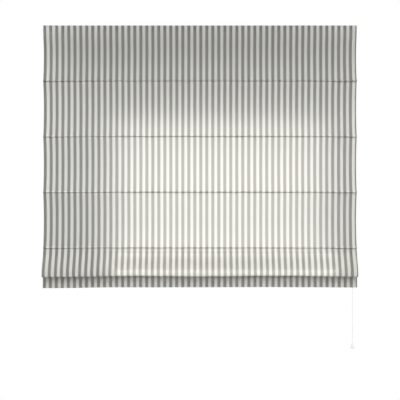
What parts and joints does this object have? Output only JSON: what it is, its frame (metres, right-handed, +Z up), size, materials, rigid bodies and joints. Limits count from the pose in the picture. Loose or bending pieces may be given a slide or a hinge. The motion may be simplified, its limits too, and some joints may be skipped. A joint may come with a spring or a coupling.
{
  "type": "roman blind",
  "caption": "Striped roman blind on a cord-operated rail that folds up in panels between thin rods, with wall brackets, a cord lock and a pull cord.",
  "frame": {"origin": "screw hole of the middle wall bracket, in the wall's plane", "axes": "+X along the rail, +Y into the wall, +Z up; the striped face looks along -Y"},
  "size_m": [1.6, 0.0613, 1.6525],
  "materials": {
    "striped_cloth": "matt woven, grey and off-white stripes",
    "tape": "napped tape",
    "aluminium": "satin anodised",
    "zinc_steel": "zinc plated",
    "white_plastic": "moulded",
    "nylon": "moulded, slightly waxy",
    "fibreglass": "pultruded",
    "cord": "braided",
    "knob_plastic": "smooth"
  },
  "bodies": {
    "rail": {"fabric_panel": "striped_cloth", "loop_tape": "tape", "hook_tape": "tape", "headrail": "aluminium", "end_cap_left": "white_plastic", "end_cap_right": "white_plastic", "bracket_1": "zinc_steel", "bracket_2": "zinc_steel", "bracket_3": "zinc_steel", "cord_guide_1": "white_plastic", "cord_guide_2": "white_plastic", "cord_guide_3": "white_plastic", "cord_guide_4": "white_plastic", "roller_pin_1": "zinc_steel", "roller_pin_2": "zinc_steel", "roller_pin_3": "zinc_steel", "roller_pin_4": "zinc_steel", "lock_housing": "white_plastic", "lock_roller_pin": "zinc_steel", "lift_cord_1": "cord", "lift_cord_2": "cord", "lift_cord_3": "cord", "lift_cord_4": "cord"},
    "rod_1": {"rod_1": "fibreglass", "rings_1": "nylon"},
    "rod_2": {"rod_2": "fibreglass", "rings_2": "nylon"},
    "rod_3": {"rod_3": "fibreglass", "rings_3": "nylon"},
    "rod_4": {"rod_4": "fibreglass", "rings_4": "nylon", "rod_5": "fibreglass", "rings_5": "nylon", "cord_stops": "white_plastic", "bottom_bar": "aluminium"},
    "pull": {"cord_joiner": "white_plastic", "pull_cord": "cord", "pull_knob": "knob_plastic"},
    "lock_jaw": {"lock_jaw": "zinc_steel"},
    "lock_roller": {"lock_roller": "nylon"},
    "guide_roller_1": {"guide_roller_1": "nylon"},
    "guide_roller_2": {"guide_roller_2": "nylon"},
    "guide_roller_3": {"guide_roller_3": "nylon"},
    "guide_roller_4": {"guide_roller_4": "nylon"},
    "cam_1": {"cam_1": "zinc_steel", "lever_1": "zinc_steel"},
    "cam_2": {"cam_2": "zinc_steel", "lever_2": "zinc_steel"},
    "cam_3": {"cam_3": "zinc_steel", "lever_3": "zinc_steel"}
  },
  "joints": [
    {"name": "lift", "type": "slide", "parent": "rail", "child": "rod_1", "axis": [0, 0, 1], "range_m": [0, 0.236], "deforming": ["fabric_panel", "lift_cord_1", "lift_cord_2", "lift_cord_3", "lift_cord_4"]},
    {"name": "lift_2", "type": "slide", "parent": "rod_1", "child": "rod_2", "axis": [0, 0, 1], "range_m": [0, 0.236]},
    {"name": "lift_3", "type": "slide", "parent": "rod_2", "child": "rod_3", "axis": [0, 0, 1], "range_m": [0, 0.236]},
    {"name": "lift_4", "type": "slide", "parent": "rod_3", "child": "rod_4", "axis": [0, 0, 1], "range_m": [0, 0.236]},
    {"name": "pull", "type": "slide", "parent": "rail", "child": "pull", "axis": [0, 0, 1], "range_m": [-0.944, 0]},
    {"name": "roller_1_turn", "type": "hinge", "parent": "rail", "child": "guide_roller_1", "pos_m": [-0.7147, -0.0162, -0.009], "axis": [0, 1, 0], "continuous": true},
    {"name": "roller_2_turn", "type": "hinge", "parent": "rail", "child": "guide_roller_2", "pos_m": [-0.2347, -0.0162, -0.009], "axis": [0, 1, 0], "continuous": true},
    {"name": "roller_3_turn", "type": "hinge", "parent": "rail", "child": "guide_roller_3", "pos_m": [0.2453, -0.0162, -0.009], "axis": [0, 1, 0], "continuous": true},
    {"name": "roller_4_turn", "type": "hinge", "parent": "rail", "child": "guide_roller_4", "pos_m": [0.7253, -0.0162, -0.009], "axis": [0, 1, 0], "continuous": true},
    {"name": "lock_roller_turn", "type": "hinge", "parent": "rail", "child": "lock_roller", "pos_m": [0.7767, -0.0162, -0.009], "axis": [0, 1, 0], "continuous": true},
    {"name": "lock_release", "type": "slide", "parent": "rail", "child": "lock_jaw", "axis": [-0.5299, 0, -0.848], "range_m": [0, 0.004]},
    {"name": "cam_1_turn", "type": "hinge", "parent": "rail", "child": "cam_1", "pos_m": [-0.65, -0.0162, 0.0127], "axis": [0, 0, 1], "range_deg": [0, 90]},
    {"name": "cam_2_turn", "type": "hinge", "parent": "rail", "child": "cam_2", "pos_m": [0, -0.0162, 0.0127], "axis": [0, 0, 1], "range_deg": [0, 90]},
    {"name": "cam_3_turn", "type": "hinge", "parent": "rail", "child": "cam_3", "pos_m": [0.65, -0.0162, 0.0127], "axis": [0, 0, 1], "range_deg": [0, 90]}
  ],
  "couplings": [
    {"joint": "lift_2", "follows": "lift", "ratio": 1},
    {"joint": "lift_3", "follows": "lift", "ratio": 1},
    {"joint": "lift_4", "follows": "lift", "ratio": 1},
    {"joint": "pull", "follows": "lift", "ratio": -4},
    {"joint": "roller_1_turn", "follows": "lift", "rad_per_m": 754.72},
    {"joint": "roller_2_turn", "follows": "lift", "rad_per_m": 754.72},
    {"joint": "roller_3_turn", "follows": "lift", "rad_per_m": 754.72},
    {"joint": "roller_4_turn", "follows": "lift", "rad_per_m": 754.72},
    {"joint": "lock_roller_turn", "follows": "lift", "rad_per_m": 754.72}
  ]
}
